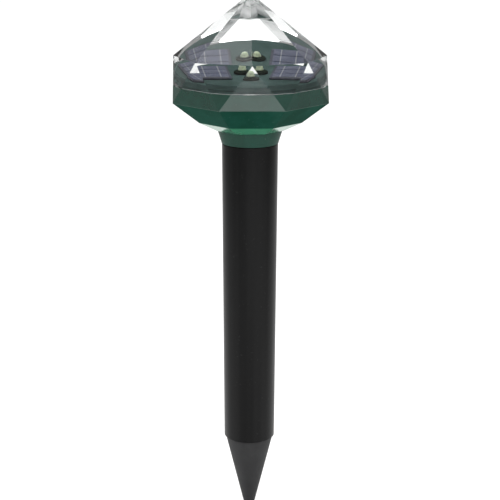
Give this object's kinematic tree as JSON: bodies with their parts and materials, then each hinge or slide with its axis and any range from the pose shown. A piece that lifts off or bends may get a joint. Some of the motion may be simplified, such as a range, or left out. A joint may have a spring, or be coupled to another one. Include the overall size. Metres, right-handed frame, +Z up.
{
  "type": "ultrasonic pest repeller",
  "caption": "Garden stake pest repeller: a clear faceted solar head on a green bowl pulls off a tapered black tube that ends in a ground spike.",
  "frame": {"origin": "tip of the ground spike, on the stake's axis", "axes": "+Z up along the stake to the crown's point; -Y is the front, the side the camera sees"},
  "size_m": [0.1082, 0.1082, 0.385],
  "materials": {
    "clear_crown": "clear, polished",
    "green_plastic": "deep green, moulded gloss",
    "deck_plastic": "grey-green, satin",
    "tube_black": "black, semi-gloss",
    "spike_grey": "dark grey, matte",
    "plug_black": "black, satin",
    "black_rubber": "matte",
    "white_silicone": "milky, satin",
    "panel_backing": "grey resin",
    "silicon": "blue-black, glassy",
    "lamp_lens": "pale green, diffusing",
    "bezel_black": "black, satin",
    "board_green": "solder mask",
    "chip_black": "moulded resin",
    "can_blue": "sleeved can",
    "copper_winding": "enamelled copper",
    "steel": "plated",
    "tinned": "tinned",
    "ferrite": "dark grey",
    "cone_paper": "black pressed paper",
    "cell_wrap": "green shrink wrap",
    "wire_red": "wire sleeve",
    "wire_black": "wire sleeve",
    "wire_yellow": "wire sleeve",
    "knob_white": "moulded"
  },
  "bodies": {
    "stake": {"ground_spike": "spike_grey", "stake_tube": "tube_black"},
    "head": {"head_base": "green_plastic", "crystal_dome": "clear_crown", "dome_gasket": "white_silicone", "panel_deck": "deck_plastic", "solar_panel_1": "panel_backing", "solar_panel_2": "panel_backing", "led_bezel": "bezel_black", "flash_led": "lamp_lens", "led_leg_1": "tinned", "led_leg_2": "tinned", "panel_lead_1": "wire_red", "panel_lead_2": "wire_black", "circuit_board": "board_green", "timer_chip": "chip_black", "capacitor": "can_blue", "boost_coil": "copper_winding", "neck_plug": "plug_black", "neck_o_ring": "black_rubber", "switch_body": "chip_black", "battery_holder": "plug_black", "battery_cell_1": "cell_wrap", "battery_cell_2": "cell_wrap", "contact_spring_1": "tinned", "contact_spring_2": "tinned", "plus_plate": "tinned", "minus_plate": "tinned", "bridge_plate": "tinned", "speaker_frame": "steel", "speaker_magnet": "ferrite", "speaker_cone": "cone_paper", "speaker_cap": "plug_black", "speaker_lead_1": "wire_red", "speaker_lead_2": "wire_black", "battery_lead_1": "wire_red", "battery_lead_2": "wire_black", "switch_lead": "wire_yellow", "solar_cell_1_1": "silicon", "solar_cell_1_2": "silicon", "solar_cell_1_3": "silicon", "solar_cell_2_1": "silicon", "solar_cell_2_2": "silicon", "solar_cell_2_3": "silicon", "board_screw_1": "steel", "board_screw_2": "steel", "board_screw_3": "steel", "board_screw_4": "steel", "plug_screw_1": "steel", "plug_screw_2": "steel", "plug_screw_3": "steel"},
    "switch": {"switch_knob": "knob_white"}
  },
  "joints": [
    {"name": "head_pull", "type": "slide", "parent": "stake", "child": "head", "axis": [0, 0, 1], "range_m": [0, 0.1]},
    {"name": "switch_slide", "type": "slide", "parent": "head", "child": "switch", "axis": [0, 0, 1], "range_m": [0, 0.003]}
  ]
}
